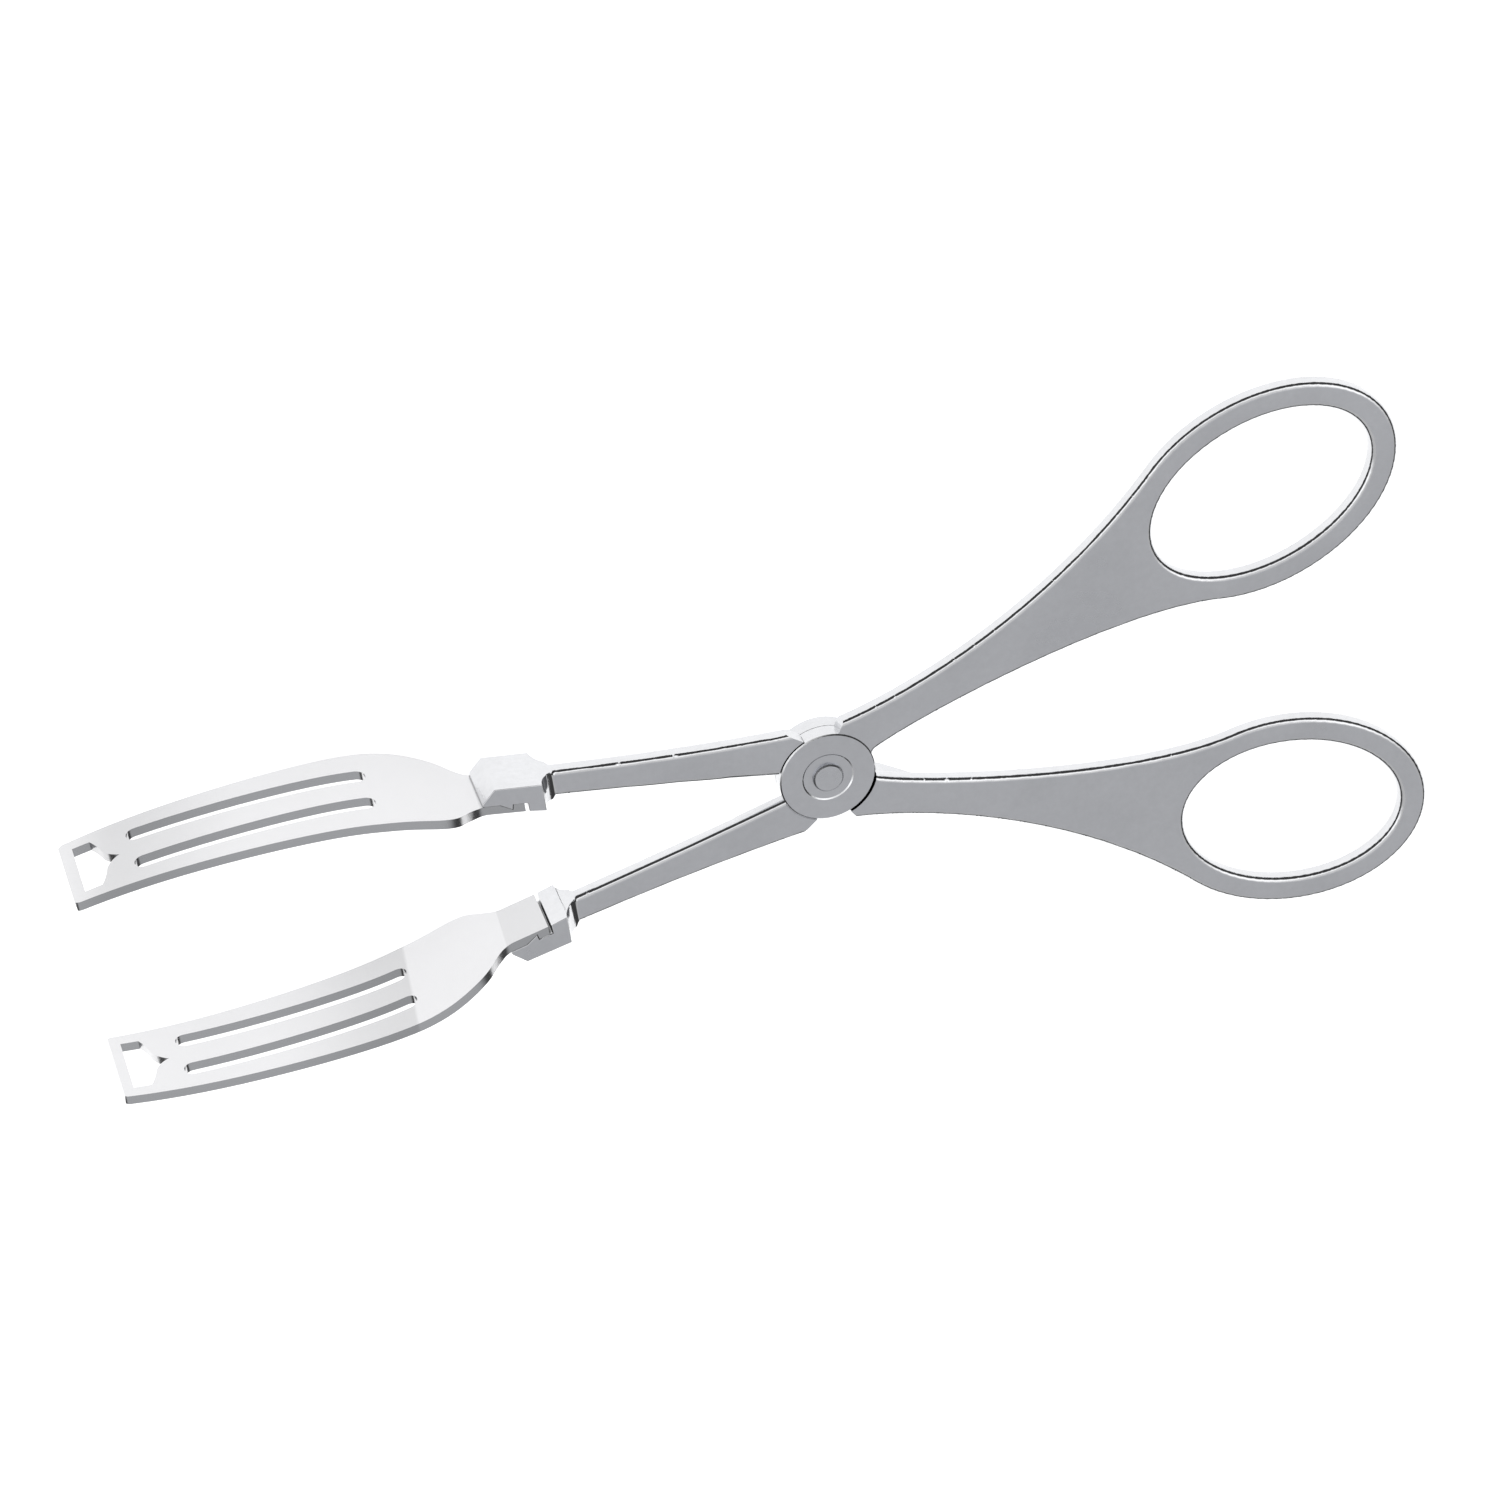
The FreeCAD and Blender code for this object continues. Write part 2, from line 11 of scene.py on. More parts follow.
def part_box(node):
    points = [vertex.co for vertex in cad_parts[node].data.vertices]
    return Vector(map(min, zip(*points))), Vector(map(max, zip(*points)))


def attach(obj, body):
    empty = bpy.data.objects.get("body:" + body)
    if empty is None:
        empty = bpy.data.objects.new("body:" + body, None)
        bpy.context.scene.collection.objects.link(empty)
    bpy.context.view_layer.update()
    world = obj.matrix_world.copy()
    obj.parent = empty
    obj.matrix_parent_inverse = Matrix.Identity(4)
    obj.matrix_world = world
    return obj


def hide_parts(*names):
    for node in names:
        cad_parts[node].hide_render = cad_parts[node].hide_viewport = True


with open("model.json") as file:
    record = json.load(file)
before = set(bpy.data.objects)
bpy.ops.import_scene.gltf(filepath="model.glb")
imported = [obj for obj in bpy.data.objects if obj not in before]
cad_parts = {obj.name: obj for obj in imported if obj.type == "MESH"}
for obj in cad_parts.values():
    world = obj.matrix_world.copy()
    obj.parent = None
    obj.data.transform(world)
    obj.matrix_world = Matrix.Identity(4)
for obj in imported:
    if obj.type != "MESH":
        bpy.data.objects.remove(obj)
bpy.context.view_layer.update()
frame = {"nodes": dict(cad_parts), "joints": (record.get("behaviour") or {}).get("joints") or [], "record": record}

bl_info = {
    "name": "Serving tongs",
    "version": (1, 0, 0),
    "blender": (4, 5, 0),
    "location": "3D View > Sidebar > Tongs",
    "description": "Dresses the packed serving tongs in polished and satin steel and sets up the studio",
    "category": "Object",
}

PIVOT_AXIS = Vector(frame["joints"][0]["axis"])
BODY_OF = {node: body for body, nodes in frame["record"]["behaviour"]["bodies"].items() for node in nodes}

# Meshes: how far the tabs reach from the levers' low end, which corners are broken or shaded smooth
TAB_LENGTH = 0.0105
TAB_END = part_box("front_lever")[0][0] + TAB_LENGTH
SHARP_CORNER = radians(40)
LEVER_SMOOTH = radians(28)
BLADE_SMOOTH = radians(50)
MERGE_GAP = 0.000001

# Steel: relief of the grain, how much smoother the rivet is, and where the painted shade zones on the blades start
# and end
GRAIN_DEPTH = 0.00005
RIVET_SMOOTHER = 0.02
NECK_X = 0.0203
CREASE_BEFORE_TANG_END = 0.0066
PAST_THE_BLADE = 0.1

# Tent: where it changes, as parts of a unit direction, and how much the dark band leans with Y
FAR_TO_NEAR = (-0.45, 0.0)
OVERHEAD = (0.80, 0.97)
HORIZON = (0.48, 0.72)
HORIZON_LEAN = 0.25


# ------------------------------------------------------------------------------------------ settings
class TongsFinish(bpy.types.PropertyGroup):
    """Colours and polish of the steel."""

    lever_colour: bpy.props.FloatVectorProperty(
        name="Lever steel", description="Colour of the levers' satin faces", subtype="COLOR", size=3,
        min=0, max=1, default=(0.55, 0.56, 0.59),
    )
    edge_colour: bpy.props.FloatVectorProperty(
        name="Polished edges", description="Colour of the levers' rounded edges and walls", subtype="COLOR",
        size=3, min=0, max=1, default=(0.64, 0.645, 0.66),
    )
    blade_colour: bpy.props.FloatVectorProperty(
        name="Blade steel", description="Colour of the blades' broad faces", subtype="COLOR", size=3,
        min=0, max=1, default=(0.66, 0.66, 0.67),
    )
    cut_colour: bpy.props.FloatVectorProperty(
        name="Blade edges", description="Colour of the blades' cut edges", subtype="COLOR", size=3,
        min=0, max=1, default=(0.50, 0.51, 0.53),
    )
    face_roughness: bpy.props.FloatProperty(
        name="Face roughness", description="Roughness of the levers' satin faces", default=0.30,
        min=0, max=1, subtype="FACTOR",
    )
    edge_roughness: bpy.props.FloatProperty(
        name="Edge roughness", description="Roughness of the levers' polished edges", default=0.09,
        min=0, max=1, subtype="FACTOR",
    )
    blade_roughness: bpy.props.FloatProperty(
        name="Blade roughness", description="Roughness of the blades", default=0.2,
        min=0, max=1, subtype="FACTOR",
    )
    lever_edge: bpy.props.FloatProperty(
        name="Lever edges", description="Width of the broken corners of the tabs and rivet", default=0.00012,
        unit="LENGTH", precision=5,
    )
    blade_edge: bpy.props.FloatProperty(
        name="Blade edges", description="Width of the broken corners of the blades", default=0.0002,
        unit="LENGTH", precision=5,
    )


class TongsStage(bpy.types.PropertyGroup):
    """Camera, light and floor."""

    azimuth: bpy.props.FloatProperty(
        name="Azimuth", description="Camera's direction round the tongs, from the front",
        default=radians(-169.3), subtype="ANGLE",
    )
    elevation: bpy.props.FloatProperty(
        name="Elevation", description="Camera's height above the table", default=radians(55.3),
        subtype="ANGLE",
    )
    roll: bpy.props.FloatProperty(
        name="Roll", description="Camera's turn about its own view", default=radians(-157.8), subtype="ANGLE",
    )
    distance: bpy.props.FloatProperty(
        name="Distance", description="From the camera to the point it looks at", default=0.822, unit="LENGTH",
    )
    aim: bpy.props.FloatVectorProperty(
        name="Aim", description="Point on the table that the camera looks at", default=(0.0002, 0.0029, 0.0),
        subtype="TRANSLATION", size=3,
    )
    lens: bpy.props.FloatProperty(
        name="Lens", description="Focal length in millimetres", default=135.0, min=20,
    )
    near_light: bpy.props.FloatProperty(
        name="Near light", description="Brightness of the tent on the camera's side", default=1.7, min=0,
    )
    far_light: bpy.props.FloatProperty(
        name="Far light", description="Brightness of the tent opposite the camera", default=0.66, min=0,
    )
    top_light: bpy.props.FloatProperty(
        name="Top light", description="Brightness of the tent straight overhead", default=0.85, min=0,
    )
    low_light: bpy.props.FloatProperty(
        name="Low light", description="Brightness of the band above the horizon", default=0.06, min=0,
    )
    floor_glow: bpy.props.FloatProperty(
        name="Floor glow", description="Light that the floor gives off, as a light table does", default=1.0,
        min=0,
    )
    floor_size: bpy.props.FloatProperty(
        name="Floor", description="Side of the floor", default=6.0, unit="LENGTH",
    )


# ------------------------------------------------------------------------------------------ materials
def new_material(name):
    """A material with only a Principled shader and its output."""
    material = bpy.data.materials.new(name)
    material.use_nodes = True
    return material, material.node_tree, material.node_tree.nodes["Principled BSDF"]


def group_sockets(group, inputs, outputs):
    """Named sockets of a shader node group: name, socket kind, default."""
    for name, kind, default in inputs:
        socket = group.interface.new_socket(name=name, in_out="INPUT", socket_type=kind)
        socket.default_value = default
    for name, kind in outputs:
        group.interface.new_socket(name=name, in_out="OUTPUT", socket_type=kind)


def face_mask_group():
    """1 on surfaces square to an axis, 0 on rounded edges and walls."""
    group = bpy.data.node_groups.new("Plate face mask", "ShaderNodeTree")
    group_sockets(
        group,
        [("Axis", "NodeSocketVector", tuple(PIVOT_AXIS)), ("Edge from", "NodeSocketFloat", 0.97),
         ("Face from", "NodeSocketFloat", 0.997)],
        [("Face", "NodeSocketFloat")],
    )
    nodes, links = group.nodes, group.links
    entry, leave = nodes.new("NodeGroupInput"), nodes.new("NodeGroupOutput")
    place = nodes.new("ShaderNodeTexCoord")
    dot = nodes.new("ShaderNodeVectorMath")
    dot.operation = "DOT_PRODUCT"
    size = nodes.new("ShaderNodeMath")
    size.operation = "ABSOLUTE"
    ramp = nodes.new("ShaderNodeMapRange")
    ramp.interpolation_type = "SMOOTHSTEP"
    links.new(place.outputs["Normal"], dot.inputs[0])
    links.new(entry.outputs["Axis"], dot.inputs[1])
    links.new(dot.outputs["Value"], size.inputs[0])
    links.new(size.outputs[0], ramp.inputs["Value"])
    links.new(entry.outputs["Edge from"], ramp.inputs["From Min"])
    links.new(entry.outputs["Face from"], ramp.inputs["From Max"])
    links.new(ramp.outputs["Result"], leave.inputs["Face"])
    return group


def grain_group():
    """Fine scratches along one direction, with soft cloudy wear over them."""
    group = bpy.data.node_groups.new("Steel grain", "ShaderNodeTree")
    group_sockets(
        group,
        [("Stretch", "NodeSocketVector", (1, 1, 1)), ("Fineness", "NodeSocketFloat", 4000.0)],
        [("Scratches", "NodeSocketFloat"), ("Clouds", "NodeSocketFloat"), ("Speckle", "NodeSocketFloat")],
    )
    nodes, links = group.nodes, group.links
    entry, leave = nodes.new("NodeGroupInput"), nodes.new("NodeGroupOutput")
    place = nodes.new("ShaderNodeTexCoord")
    stretch = nodes.new("ShaderNodeVectorMath")
    stretch.operation = "MULTIPLY"
    scratches = nodes.new("ShaderNodeTexNoise")
    scratches.inputs["Detail"].default_value = 3.0
    clouds = nodes.new("ShaderNodeTexNoise")
    clouds.inputs["Scale"].default_value = 90.0
    clouds.inputs["Detail"].default_value = 4.0
    speckle = nodes.new("ShaderNodeTexNoise")
    speckle.inputs["Scale"].default_value = 900.0
    speckle.inputs["Detail"].default_value = 5.0
    speckle.inputs["Roughness"].default_value = 0.7
    links.new(place.outputs["Object"], speckle.inputs["Vector"])
    links.new(speckle.outputs["Fac"], leave.inputs["Speckle"])
    links.new(place.outputs["Object"], stretch.inputs[0])
    links.new(entry.outputs["Stretch"], stretch.inputs[1])
    links.new(stretch.outputs[0], scratches.inputs["Vector"])
    links.new(entry.outputs["Fineness"], scratches.inputs["Scale"])
    links.new(place.outputs["Object"], clouds.inputs["Vector"])
    links.new(scratches.outputs["Fac"], leave.inputs["Scratches"])
    links.new(clouds.outputs["Fac"], leave.inputs["Clouds"])
    return group


def place_group(tree, group, **values):
    """One use of a node group, with its own values."""
    node = tree.nodes.new("ShaderNodeGroup")
    node.node_tree = group
    for name, value in values.items():
        node.inputs[name.replace("_", " ")].default_value = value
    return node


def scale_and_add(tree, source, factor, base):
    """base + factor * source."""
    node = tree.nodes.new("ShaderNodeMath")
    node.operation = "MULTIPLY_ADD"
    node.inputs[1].default_value = factor
    node.inputs[2].default_value = base
    tree.links.new(source, node.inputs[0])
    return node.outputs[0]


def drift(tree, source, middle, spread):
    """A value that wanders about its middle with a noise that runs from 0 to 1."""
    return scale_and_add(tree, source, spread, middle - spread / 2)


def painted_crevice_shade_group():
    """0 deep in gaps and corners, where painted shade from ambient occlusion darkens the colour, 1 in the open."""
    group = bpy.data.node_groups.new("Painted crevice shade", "ShaderNodeTree")
    group_sockets(
        group,
        [("Reach", "NodeSocketFloat", 0.0012), ("Darkest", "NodeSocketFloat", 0.1)],
        [("Open", "NodeSocketFloat")],
    )
    nodes, links = group.nodes, group.links
    entry, leave = nodes.new("NodeGroupInput"), nodes.new("NodeGroupOutput")
    # Ambient occlusion, turned into painted shade on the colour
    shelter = nodes.new("ShaderNodeAmbientOcclusion")
    ramp = nodes.new("ShaderNodeMapRange")
    ramp.interpolation_type = "SMOOTHSTEP"
    ramp.inputs["From Min"].default_value = 0.15
    ramp.inputs["From Max"].default_value = 0.6
    links.new(entry.outputs["Reach"], shelter.inputs["Distance"])
    links.new(shelter.outputs["AO"], ramp.inputs["Value"])
    links.new(entry.outputs["Darkest"], ramp.inputs["To Min"])
    links.new(ramp.outputs["Result"], leave.inputs["Open"])
    return group


def bend_shade_group():
    """A painted shade across a blade, standing in for the greyer reflection past a bend: it starts at one line and
    fades out further along.
    """
    group = bpy.data.node_groups.new("Painted bend shade", "ShaderNodeTree")
    group_sockets(
        group,
        [("Way", "NodeSocketVector", (1, 0, 0)), ("Start", "NodeSocketFloat", 0.0),
         ("Full", "NodeSocketFloat", 0.001), ("Gone", "NodeSocketFloat", 0.02),
         ("Depth", "NodeSocketFloat", 0.2)],
        [("Shade", "NodeSocketFloat")],
    )
    nodes, links = group.nodes, group.links
    entry, leave = nodes.new("NodeGroupInput"), nodes.new("NodeGroupOutput")
    place = nodes.new("ShaderNodeTexCoord")
    along = nodes.new("ShaderNodeVectorMath")
    along.operation = "DOT_PRODUCT"
    links.new(place.outputs["Object"], along.inputs[0])
    links.new(entry.outputs["Way"], along.inputs[1])
    rise, fall = nodes.new("ShaderNodeMapRange"), nodes.new("ShaderNodeMapRange")
    for ramp, start, end in ((rise, "Start", "Full"), (fall, "Gone", "Full")):
        ramp.interpolation_type = "SMOOTHSTEP"
        links.new(along.outputs["Value"], ramp.inputs["Value"])
        links.new(entry.outputs[start], ramp.inputs["From Min"])
        links.new(entry.outputs[end], ramp.inputs["From Max"])
    zone, depth, shade = (nodes.new("ShaderNodeMath") for number in range(3))
    zone.operation = "MULTIPLY"
    depth.operation = "MULTIPLY"
    shade.operation = "SUBTRACT"
    shade.inputs[0].default_value = 1.0
    links.new(rise.outputs["Result"], zone.inputs[0])
    links.new(fall.outputs["Result"], zone.inputs[1])
    links.new(zone.outputs[0], depth.inputs[0])
    links.new(entry.outputs["Depth"], depth.inputs[1])
    links.new(depth.outputs[0], shade.inputs[1])
    links.new(shade.outputs[0], leave.inputs["Shade"])
    return group


def painted_shade_zone(way, start, rise, fade, depth):
    """Values for one painted shade zone: its direction, its start, how far on it is full and gone, its depth."""
    return dict(Way=way, Start=start, Full=start + rise, Gone=start + fade, Depth=depth)


def blend_colours(tree, factor, first, second, blend="MIX"):
    """Two colours mixed by a mask; each is a plain colour or an output socket."""
    mix = tree.nodes.new("ShaderNodeMix")
    mix.data_type = "RGBA"
    mix.blend_type = blend
    for name, value in (("Factor", factor), ("A", first), ("B", second)):
        if isinstance(value, bpy.types.NodeSocket):
            tree.links.new(value, mix.inputs[name])
        elif name == "Factor":
            mix.inputs[name].default_value = value
        else:
            mix.inputs[name].default_value = (*value, 1)
    return mix.outputs["Result"]


def finish_steel(tree, shader, effects, colour, lines, mottle, relief):
    """What every steel here shares: painted shade in crevices, fine mottling and the relief of its grain."""
    shader.inputs["Metallic"].default_value = 1.0
    shade = drift(tree, lines.outputs["Clouds"], 1.0, mottle)
    speckle = drift(tree, lines.outputs["Speckle"], 1.0, mottle)
    tone = blend_colours(tree, 1.0, colour, shade, "MULTIPLY")
    tone = blend_colours(tree, 1.0, tone, speckle, "MULTIPLY")
    # Painted shade: ambient occlusion darkens the colour in gaps and corners
    crevice_shade_node = place_group(tree, effects["painted_crevice_shade"])
    tone = blend_colours(tree, 1.0, tone, crevice_shade_node.outputs["Open"], "MULTIPLY")
    tree.links.new(tone, shader.inputs["Base Color"])
    bump = tree.nodes.new("ShaderNodeBump")
    bump.inputs["Strength"].default_value = relief
    bump.inputs["Distance"].default_value = GRAIN_DEPTH
    tree.links.new(lines.outputs["Scratches"], bump.inputs["Height"])
    tree.links.new(bump.outputs["Normal"], shader.inputs["Normal"])


def lever_steel(finish, effects):
    """Satin ground faces between polished, rounded edges."""
    material, tree, shader = new_material("Lever steel")
    face = place_group(tree, effects["face"])
    lines = place_group(tree, effects["grain"], Stretch=(1.0, 0.3, 1.0), Fineness=2600.0)
    colour = blend_colours(tree, face.outputs["Face"], finish.edge_colour, finish.lever_colour)
    finish_steel(tree, shader, effects, colour, lines, mottle=0.16, relief=0.2)
    rough = tree.nodes.new("ShaderNodeMix")
    rough.inputs["A"].default_value = finish.edge_roughness
    satin = drift(tree, lines.outputs["Clouds"], finish.face_roughness, spread=0.14)
    tree.links.new(face.outputs["Face"], rough.inputs["Factor"])
    tree.links.new(satin, rough.inputs["B"])
    tree.links.new(rough.outputs["Result"], shader.inputs["Roughness"])
    return material


def blade_steel(finish, effects, name, bends):
    """Bright polished sheet with cut edges, a faint rolled grain and painted shade past each bend."""
    material, tree, shader = new_material(name)
    cut = place_group(tree, effects["face"], Edge_from=0.7, Face_from=0.95)
    lines = place_group(tree, effects["grain"], Stretch=(0.05, 1.0, 1.0), Fineness=1500.0)
    colour = blend_colours(tree, cut.outputs["Face"], finish.blade_colour, finish.cut_colour)
    # Painted shade: each zone greys the colour where the bent sheet reflects darker
    for bend in bends:
        shade = place_group(tree, effects["bend"], **bend)
        colour = blend_colours(tree, 1.0, colour, shade.outputs["Shade"], "MULTIPLY")
    finish_steel(tree, shader, effects, colour, lines, mottle=0.05, relief=0.08)
    rough = drift(tree, lines.outputs["Clouds"], finish.blade_roughness, spread=0.08)
    tree.links.new(rough, shader.inputs["Roughness"])
    return material


def rivet_steel(finish, effects):
    """Lathe-turned pin, peened and left a little rough."""
    material, tree, shader = new_material("Rivet steel")
    lines = place_group(tree, effects["grain"], Fineness=1800.0)
    finish_steel(tree, shader, effects, finish.lever_colour, lines, mottle=0.2, relief=0.3)
    rough = drift(tree, lines.outputs["Clouds"], finish.face_roughness - RIVET_SMOOTHER, spread=0.16)
    tree.links.new(rough, shader.inputs["Roughness"])
    return material


def wear(piece, material):
    """Gives a piece one material all over."""
    piece.data.materials.clear()
    piece.data.materials.append(material)


def shared_effects():
    """The node groups that the steels share, made once."""
    if "Painted crevice shade" not in bpy.data.node_groups:
        face_mask_group()
        grain_group()
        painted_crevice_shade_group()
        bend_shade_group()
    return {
        "face": bpy.data.node_groups["Plate face mask"],
        "grain": bpy.data.node_groups["Steel grain"],
        "painted_crevice_shade": bpy.data.node_groups["Painted crevice shade"],
        "bend": bpy.data.node_groups["Painted bend shade"],
    }


# -------------------------------------------------------------------------------------------- pieces
def mark_corners(mesh, reach):
    """Gives full bevel weight to the sharp edges that lie before the given place along X."""
    work = bmesh.new()
    work.from_mesh(mesh)
    weight = work.edges.layers.float.new("bevel_weight_edge")
    for edge in work.edges:
        middle = (edge.verts[0].co + edge.verts[1].co) / 2
        if edge.is_manifold and edge.calc_face_angle() > SHARP_CORNER and middle.x < reach:
            edge[weight] = 1.0
    work.to_mesh(mesh)
    work.free()


def polished_piece(node, edge, material, smooth, reach=1.0):
    """A copy of a CAD node with its triangles joined and its sharp corners broken, as after tumbling."""
    bpy.ops.object.select_all(action="DESELECT")
    piece = bpy.data.objects.new(f"{node}_polished", frame["nodes"][node].data.copy())
    bpy.context.scene.collection.objects.link(piece)
    bpy.context.view_layer.objects.active = piece
    piece.select_set(True)
    bpy.ops.mesh.customdata_custom_splitnormals_clear()
    bpy.ops.object.mode_set(mode="EDIT")
    bpy.ops.mesh.select_all(action="SELECT")
    bpy.ops.mesh.remove_doubles(threshold=MERGE_GAP)
    bpy.ops.object.mode_set(mode="OBJECT")
    bpy.ops.object.shade_smooth_by_angle(angle=smooth)
    mark_corners(piece.data, reach)
    corners = piece.modifiers.new("Broken corners", "BEVEL")
    corners.width = edge
    corners.segments = 3
    corners.limit_method = "WEIGHT"
    bpy.ops.object.modifier_apply(modifier=corners.name)
    flats = piece.modifiers.new("Flat faces", "WEIGHTED_NORMAL")
    flats.keep_sharp = True
    bpy.ops.object.modifier_apply(modifier=flats.name)
    wear(piece, material)
    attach(piece, BODY_OF[node])
    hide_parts(node)


# ---------------------------------------------------------------------------------------- operators
class TongsOperator:
    """What the tongs' operators share."""

    bl_options = {"REGISTER", "UNDO"}


class TONGS_OT_levers(TongsOperator, bpy.types.Operator):
    """Finishes the two levers"""

    bl_idname = "tongs.levers"
    bl_label = "Levers"

    def execute(self, context):
        finish = context.scene.tongs_finish
        steel = lever_steel(finish, shared_effects())
        for node in ("front_lever", "rear_lever"):
            polished_piece(node, finish.lever_edge, steel, LEVER_SMOOTH, TAB_END)
        return {"FINISHED"}


class TONGS_OT_blades(TongsOperator, bpy.types.Operator):
    """Finishes the two blades"""

    bl_idname = "tongs.blades"
    bl_label = "Blades"

    def execute(self, context):
        finish = context.scene.tongs_finish
        effects = shared_effects()
        tang_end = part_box("lower_blade")[1][0]
        neck = NECK_X - tang_end
        crease = tang_end - CREASE_BEFORE_TANG_END
        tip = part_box("upper_blade")[0][0]
        # Painted shade zones at the neck, past the tang's crease and at the tip, for the bent sheet's greyer
        # reflection
        neck_painted_shade = painted_shade_zone((-1.0, 0.0, -0.05), neck, rise=0.0006, fade=0.024, depth=0.17)
        tang_painted_shade = painted_shade_zone((1.0, 0.0, 0.0), crease, rise=0.0003, fade=PAST_THE_BLADE, depth=0.11)
        tip_painted_shade = painted_shade_zone((1.0, 0.0, 0.11), tip, rise=0.009, fade=0.03, depth=0.15)
        lower = blade_steel(finish, effects, "Lower blade steel", (neck_painted_shade, tang_painted_shade))
        upper = blade_steel(finish, effects, "Upper blade steel", (tip_painted_shade, tang_painted_shade))
        polished_piece("lower_blade", finish.blade_edge, lower, BLADE_SMOOTH)
        polished_piece("upper_blade", finish.blade_edge, upper, BLADE_SMOOTH)
        return {"FINISHED"}


class TONGS_OT_rivet(TongsOperator, bpy.types.Operator):
    """Finishes the pivot rivet"""

    bl_idname = "tongs.rivet"
    bl_label = "Rivet"

    def execute(self, context):
        finish = context.scene.tongs_finish
        steel = rivet_steel(finish, shared_effects())
        polished_piece("pivot_rivet", finish.lever_edge, steel, LEVER_SMOOTH)
        return {"FINISHED"}


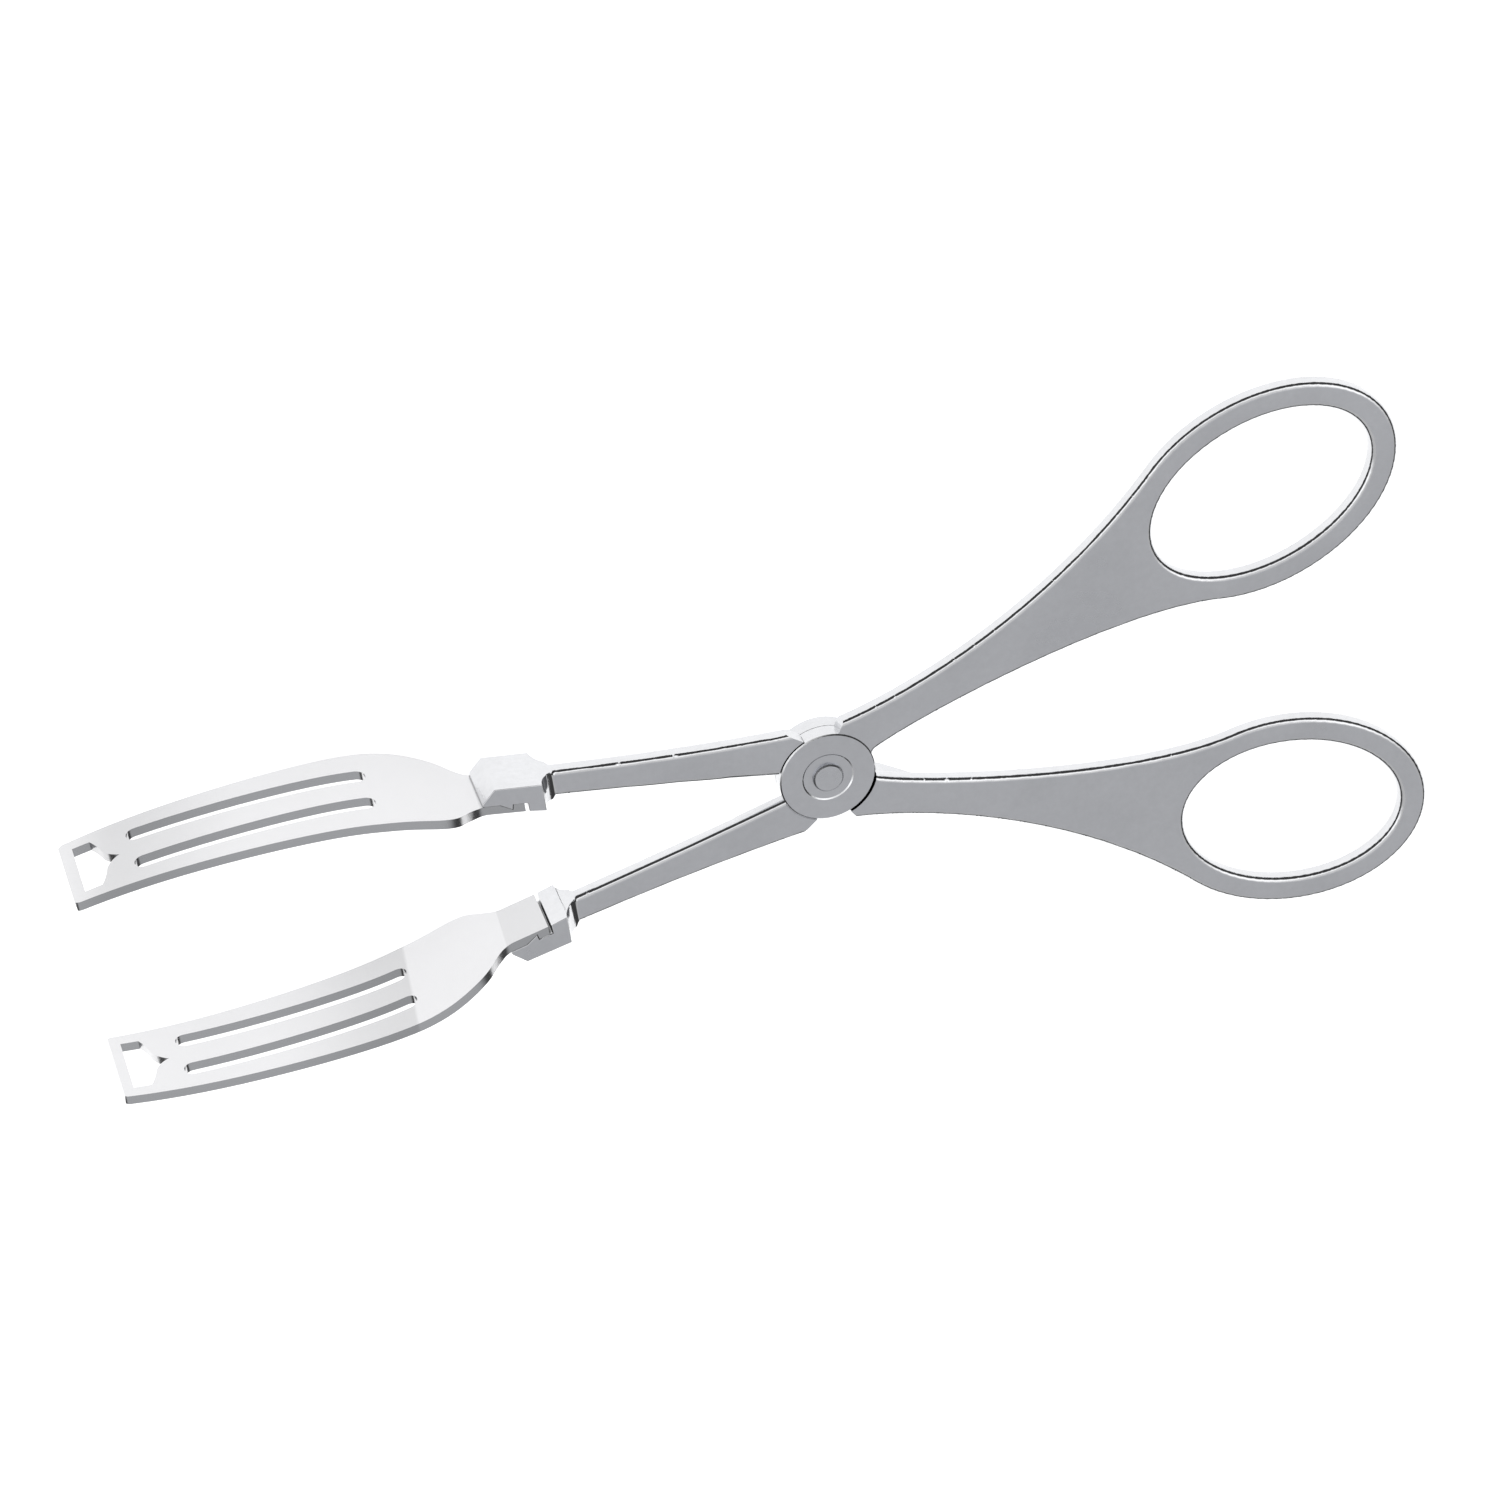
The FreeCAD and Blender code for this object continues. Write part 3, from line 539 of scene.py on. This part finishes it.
class TONGS_OT_stage(TongsOperator, bpy.types.Operator):
    """Adds the floor, the light and the camera"""

    bl_idname = "tongs.stage"
    bl_label = "Studio"

    def execute(self, context):
        stage = context.scene.tongs_stage
        self.add_floor(stage)
        self.add_sky(context.scene, stage)
        self.add_camera(context.scene, stage)
        context.scene.view_settings.view_transform = "Standard"
        return {"FINISHED"}

    def add_floor(self, stage):
        bpy.ops.object.select_all(action="DESELECT")
        bpy.ops.mesh.primitive_plane_add(size=stage.floor_size, location=(0, 0, 0))
        floor = bpy.context.object
        floor.name = "floor"
        material, tree, shader = new_material("Floor paper")
        shader.inputs["Base Color"].default_value = (0.5, 0.5, 0.5, 1)
        shader.inputs["Emission Color"].default_value = (1, 1, 1, 1)
        shader.inputs["Emission Strength"].default_value = stage.floor_glow
        shader.inputs["Roughness"].default_value = 0.9
        shader.inputs["Specular IOR Level"].default_value = 0.0
        wear(floor, material)

    def add_sky(self, scene, stage):
        """A white tent: bright on one side, greyer opposite and overhead, with a dark band low down."""
        world = bpy.data.worlds.new("Studio")
        scene.world = world
        world.use_nodes = True
        tree = world.node_tree
        place = tree.nodes.new("ShaderNodeTexCoord")
        axes = tree.nodes.new("ShaderNodeSeparateXYZ")
        tree.links.new(place.outputs["Generated"], axes.inputs[0])
        top = self.band(tree, axes.outputs["Z"], *OVERHEAD, stage.near_light, stage.top_light)
        sides = self.band(tree, axes.outputs["Y"], *FAR_TO_NEAR, stage.far_light, stage.near_light)
        tree.links.new(top, sides.node.inputs["To Max"])
        tilt = scale_and_add(tree, axes.outputs["Y"], -HORIZON_LEAN, 0.0)
        raised = tree.nodes.new("ShaderNodeMath")
        raised.operation = "ADD"
        tree.links.new(axes.outputs["Z"], raised.inputs[0])
        tree.links.new(tilt, raised.inputs[1])
        height = self.band(tree, raised.outputs[0], *HORIZON, stage.low_light, 1.0)
        tree.links.new(sides, height.node.inputs["To Max"])
        lit = tree.nodes["Background"]
        tree.links.new(height, lit.inputs["Strength"])
        lit.inputs["Color"].default_value = (1, 1, 1, 1)
        backdrop = tree.nodes.new("ShaderNodeBackground")
        backdrop.inputs["Strength"].default_value = 1.0
        seen = tree.nodes.new("ShaderNodeLightPath")
        choice = tree.nodes.new("ShaderNodeMixShader")
        tree.links.new(seen.outputs["Is Camera Ray"], choice.inputs["Fac"])
        tree.links.new(lit.outputs[0], choice.inputs[1])
        tree.links.new(backdrop.outputs[0], choice.inputs[2])
        tree.links.new(choice.outputs[0], tree.nodes["World Output"].inputs["Surface"])

    def band(self, tree, source, start, end, before, after):
        """A smooth step from one value to another."""
        ramp = tree.nodes.new("ShaderNodeMapRange")
        ramp.interpolation_type = "SMOOTHSTEP"
        ramp.inputs["From Min"].default_value = start
        ramp.inputs["From Max"].default_value = end
        ramp.inputs["To Min"].default_value = before
        ramp.inputs["To Max"].default_value = after
        tree.links.new(source, ramp.inputs["Value"])
        return ramp.outputs["Result"]

    def add_camera(self, scene, stage):
        lens = bpy.data.cameras.new("Camera")
        lens.lens = stage.lens
        lens.sensor_width = 36.0
        lens.clip_start = 0.01
        camera = bpy.data.objects.new("Camera", lens)
        scene.collection.objects.link(camera)
        aim = Matrix.Translation(stage.aim)
        turn = Matrix.Rotation(stage.azimuth, 4, "Z") @ Matrix.Rotation(radians(90) - stage.elevation, 4, "X")
        roll = Matrix.Rotation(-stage.roll, 4, "Z")
        back = Matrix.Translation((0, 0, stage.distance))
        camera.matrix_world = aim @ turn @ roll @ back
        scene.camera = camera


class TONGS_PT_panel(bpy.types.Panel):
    """Lists the steps and their settings"""

    bl_idname = "TONGS_PT_panel"
    bl_label = "Serving tongs"
    bl_space_type = "VIEW_3D"
    bl_region_type = "UI"
    bl_category = "Tongs"

    def draw(self, context):
        for step in STEPS:
            self.layout.operator(step.bl_idname)
        for settings in (context.scene.tongs_finish, context.scene.tongs_stage):
            for name in settings.bl_rna.properties.keys():
                if name not in ("rna_type", "name"):
                    self.layout.prop(settings, name)


STEPS = (TONGS_OT_levers, TONGS_OT_blades, TONGS_OT_rivet, TONGS_OT_stage)
CLASSES = (TongsFinish, TongsStage, *STEPS, TONGS_PT_panel)


def register():
    for item in CLASSES:
        bpy.utils.register_class(item)
    bpy.types.Scene.tongs_finish = bpy.props.PointerProperty(type=TongsFinish)
    bpy.types.Scene.tongs_stage = bpy.props.PointerProperty(type=TongsStage)


def unregister():
    del bpy.types.Scene.tongs_stage
    del bpy.types.Scene.tongs_finish
    for item in reversed(CLASSES):
        bpy.utils.unregister_class(item)


def main():
    register()
    bpy.ops.tongs.levers()
    bpy.ops.tongs.blades()
    bpy.ops.tongs.rivet()
    bpy.ops.tongs.stage()


if __name__ == "__main__":
    main()
